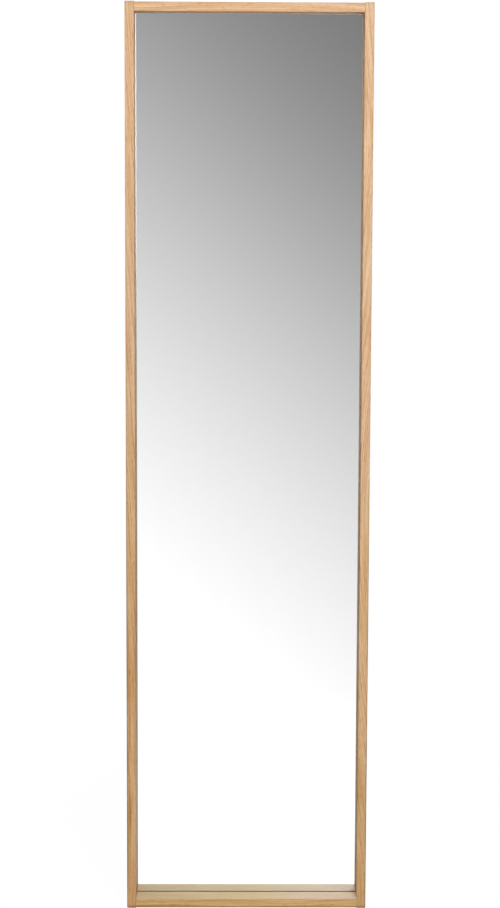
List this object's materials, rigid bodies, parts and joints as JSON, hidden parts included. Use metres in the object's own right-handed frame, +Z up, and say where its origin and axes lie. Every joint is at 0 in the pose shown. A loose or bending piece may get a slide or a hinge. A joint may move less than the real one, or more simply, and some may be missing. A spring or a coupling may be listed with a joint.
{
  "type": "wall mirror",
  "caption": "Tall, narrow wall mirror: a deep oak frame with butt corners, glass at the bottom of its recess, a back panel held by turn buttons, and ring hangers.",
  "frame": {"origin": "on the wall plane, midway between the pivots of the two hanger rings", "axes": "+X to the right as seen from the front, +Y into the wall, +Z up along the stiles"},
  "size_m": [0.4, 0.05, 1.5],
  "materials": {
    "oak": "solid light oak, straight grain, clear matt lacquer",
    "beech": "turned beech, bare",
    "float_glass": "clear float glass, ground edges",
    "silvering": "silvered, grey protective paint on its rear",
    "foam_tape": "white closed-cell foam",
    "hardboard": "smooth brown hardboard",
    "black_rubber": "matt moulded rubber",
    "zinc_plated_steel": "pressed sheet, bright zinc plating",
    "plated_wire": "bent wire, nickel plating",
    "screw_steel": "zinc-plated screws"
  },
  "bodies": {
    "root": {"left_stile": "oak", "right_stile": "oak", "top_rail": "oak", "bottom_rail": "oak", "corner_dowels": "beech", "mirror_glass": "float_glass", "silver_coating": "silvering", "mounting_tape": "foam_tape", "back_panel": "hardboard", "setting_blocks": "black_rubber", "wall_bumpers": "black_rubber", "turn_button_screws": "screw_steel", "left_hanger_strap": "zinc_plated_steel", "right_hanger_strap": "zinc_plated_steel", "hanger_screws": "screw_steel"},
    "left_ring": {"left_hanger_ring": "plated_wire"},
    "right_ring": {"right_hanger_ring": "plated_wire"},
    "left_button_1": {"left_turn_button_1": "zinc_plated_steel"},
    "left_button_2": {"left_turn_button_2": "zinc_plated_steel"},
    "left_button_3": {"left_turn_button_3": "zinc_plated_steel"},
    "left_button_4": {"left_turn_button_4": "zinc_plated_steel"},
    "right_button_1": {"right_turn_button_1": "zinc_plated_steel"},
    "right_button_2": {"right_turn_button_2": "zinc_plated_steel"},
    "right_button_3": {"right_turn_button_3": "zinc_plated_steel"},
    "right_button_4": {"right_turn_button_4": "zinc_plated_steel"},
    "top_button": {"top_turn_button": "zinc_plated_steel"},
    "bottom_button": {"bottom_turn_button": "zinc_plated_steel"}
  },
  "joints": [
    {"name": "left_ring_swing", "type": "hinge", "parent": "root", "child": "left_ring", "pos_m": [-0.1936, -0.00262, 0], "axis": [1, 0, 0], "range_deg": [0, 180]},
    {"name": "right_ring_swing", "type": "hinge", "parent": "root", "child": "right_ring", "pos_m": [0.1936, -0.00262, 0], "axis": [1, 0, 0], "range_deg": [0, 180]},
    {"name": "left_button_1_turn", "type": "hinge", "parent": "root", "child": "left_button_1", "pos_m": [-0.195, -0.0043, -1.1], "axis": [0, 1, 0], "continuous": true},
    {"name": "left_button_2_turn", "type": "hinge", "parent": "root", "child": "left_button_2", "pos_m": [-0.195, -0.0043, -0.7], "axis": [0, 1, 0], "continuous": true},
    {"name": "left_button_3_turn", "type": "hinge", "parent": "root", "child": "left_button_3", "pos_m": [-0.195, -0.0043, -0.3], "axis": [0, 1, 0], "continuous": true},
    {"name": "left_button_4_turn", "type": "hinge", "parent": "root", "child": "left_button_4", "pos_m": [-0.195, -0.0043, 0.1], "axis": [0, 1, 0], "continuous": true},
    {"name": "right_button_1_turn", "type": "hinge", "parent": "root", "child": "right_button_1", "pos_m": [0.195, -0.0043, -1.1], "axis": [0, 1, 0], "continuous": true},
    {"name": "right_button_2_turn", "type": "hinge", "parent": "root", "child": "right_button_2", "pos_m": [0.195, -0.0043, -0.7], "axis": [0, 1, 0], "continuous": true},
    {"name": "right_button_3_turn", "type": "hinge", "parent": "root", "child": "right_button_3", "pos_m": [0.195, -0.0043, -0.3], "axis": [0, 1, 0], "continuous": true},
    {"name": "right_button_4_turn", "type": "hinge", "parent": "root", "child": "right_button_4", "pos_m": [0.195, -0.0043, 0.1], "axis": [0, 1, 0], "continuous": true},
    {"name": "top_button_turn", "type": "hinge", "parent": "root", "child": "top_button", "pos_m": [0, -0.0043, 0.244], "axis": [0, 1, 0], "continuous": true},
    {"name": "bottom_button_turn", "type": "hinge", "parent": "root", "child": "bottom_button", "pos_m": [0, -0.0043, -1.244], "axis": [0, 1, 0], "continuous": true}
  ]
}
